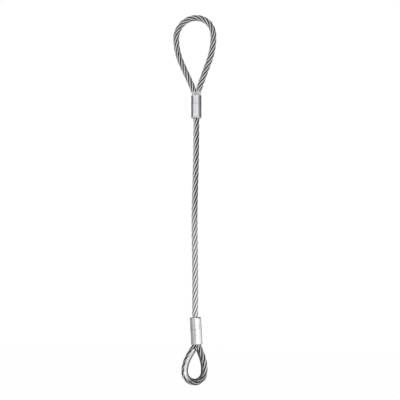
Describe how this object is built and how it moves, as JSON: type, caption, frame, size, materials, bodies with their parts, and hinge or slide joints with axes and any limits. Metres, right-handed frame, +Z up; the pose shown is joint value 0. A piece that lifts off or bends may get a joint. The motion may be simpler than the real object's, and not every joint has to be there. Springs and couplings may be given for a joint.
{
  "type": "wire rope sling",
  "caption": "Single-leg wire rope sling with a soft eye at one end, a thimble eye at the other, and a pressed sleeve under each eye.",
  "frame": {"origin": "centre of the thimble's crown, on the line of the pin that it bears on", "axes": "+Z up the sling to the soft eye, +Y along the thimble's pin, both eyes in the XZ plane"},
  "size_m": [0.1239, 0.031, 1.0051],
  "materials": {
    "rope_strand": "bright galvanised wire",
    "rope_core": "oiled steel wire",
    "sleeve": "smooth pressed, satin",
    "thimble": "galvanised"
  },
  "bodies": {
    "soft_eye": {"soft_eye_strands": "rope_strand", "soft_eye_core": "rope_core"},
    "upper_end": {"upper_throat_strands": "rope_strand", "upper_throat_cores": "rope_core", "upper_sleeve": "sleeve", "upper_splice_tails": "rope_strand", "upper_live_strands": "rope_strand", "upper_live_core": "rope_core"},
    "rope_01": {"rope_strands_01": "rope_strand", "rope_core_01": "rope_core"},
    "rope_02": {"rope_strands_02": "rope_strand", "rope_core_02": "rope_core"},
    "rope_03": {"rope_strands_03": "rope_strand", "rope_core_03": "rope_core"},
    "rope_04": {"rope_strands_04": "rope_strand", "rope_core_04": "rope_core"},
    "rope_05": {"rope_strands_05": "rope_strand", "rope_core_05": "rope_core"},
    "rope_06": {"rope_strands_06": "rope_strand", "rope_core_06": "rope_core"},
    "rope_07": {"rope_strands_07": "rope_strand", "rope_core_07": "rope_core"},
    "rope_08": {"rope_strands_08": "rope_strand", "rope_core_08": "rope_core"},
    "rope_09": {"rope_strands_09": "rope_strand", "rope_core_09": "rope_core"},
    "rope_10": {"rope_strands_10": "rope_strand", "rope_core_10": "rope_core"},
    "lower_end": {"lower_live_strands": "rope_strand", "lower_live_core": "rope_core", "lower_sleeve": "sleeve", "lower_splice_tails": "rope_strand", "hard_eye_strands": "rope_strand", "hard_eye_core": "rope_core", "thimble": "thimble"}
  },
  "joints": [
    {"name": "soft_eye_tilt", "type": "hinge", "parent": "soft_eye", "child": "upper_end", "pos_m": [0.0053, 0, 0.77265], "axis": [1, 0, 0], "range_deg": [-20, 20]},
    {"name": "bend_01", "type": "hinge", "parent": "upper_end", "child": "rope_01", "pos_m": [0.00515, 0, 0.65624], "axis": [0, 1, 0], "range_deg": [-30, 30]},
    {"name": "sway_02", "type": "hinge", "parent": "rope_01", "child": "rope_02", "pos_m": [0.00476, 0, 0.60742], "axis": [1, 0, 0], "range_deg": [-30, 30]},
    {"name": "bend_03", "type": "hinge", "parent": "rope_02", "child": "rope_03", "pos_m": [0.00395, 0, 0.5586], "axis": [0, 1, 0], "range_deg": [-30, 30]},
    {"name": "sway_04", "type": "hinge", "parent": "rope_03", "child": "rope_04", "pos_m": [0.00258, 0, 0.50979], "axis": [1, 0, 0], "range_deg": [-30, 30]},
    {"name": "bend_05", "type": "hinge", "parent": "rope_04", "child": "rope_05", "pos_m": [0.00112, 0, 0.46097], "axis": [0, 1, 0], "range_deg": [-30, 30]},
    {"name": "twist_06", "type": "hinge", "parent": "rope_05", "child": "rope_06", "pos_m": [0.00031, 0, 0.41215], "axis": [0, 0, 1], "range_deg": [-30, 30]},
    {"name": "sway_07", "type": "hinge", "parent": "rope_06", "child": "rope_07", "pos_m": [0.00054, 0, 0.36333], "axis": [1, 0, 0], "range_deg": [-30, 30]},
    {"name": "bend_08", "type": "hinge", "parent": "rope_07", "child": "rope_08", "pos_m": [0.00143, 0, 0.31451], "axis": [0, 1, 0], "range_deg": [-30, 30]},
    {"name": "sway_09", "type": "hinge", "parent": "rope_08", "child": "rope_09", "pos_m": [0.00221, 0, 0.26569], "axis": [1, 0, 0], "range_deg": [-30, 30]},
    {"name": "bend_10", "type": "hinge", "parent": "rope_09", "child": "rope_10", "pos_m": [0.00245, 0, 0.21688], "axis": [0, 1, 0], "range_deg": [-30, 30]},
    {"name": "sway_11", "type": "hinge", "parent": "rope_10", "child": "lower_end", "pos_m": [0.00231, 0, 0.16806], "axis": [1, 0, 0], "range_deg": [-30, 30]}
  ]
}
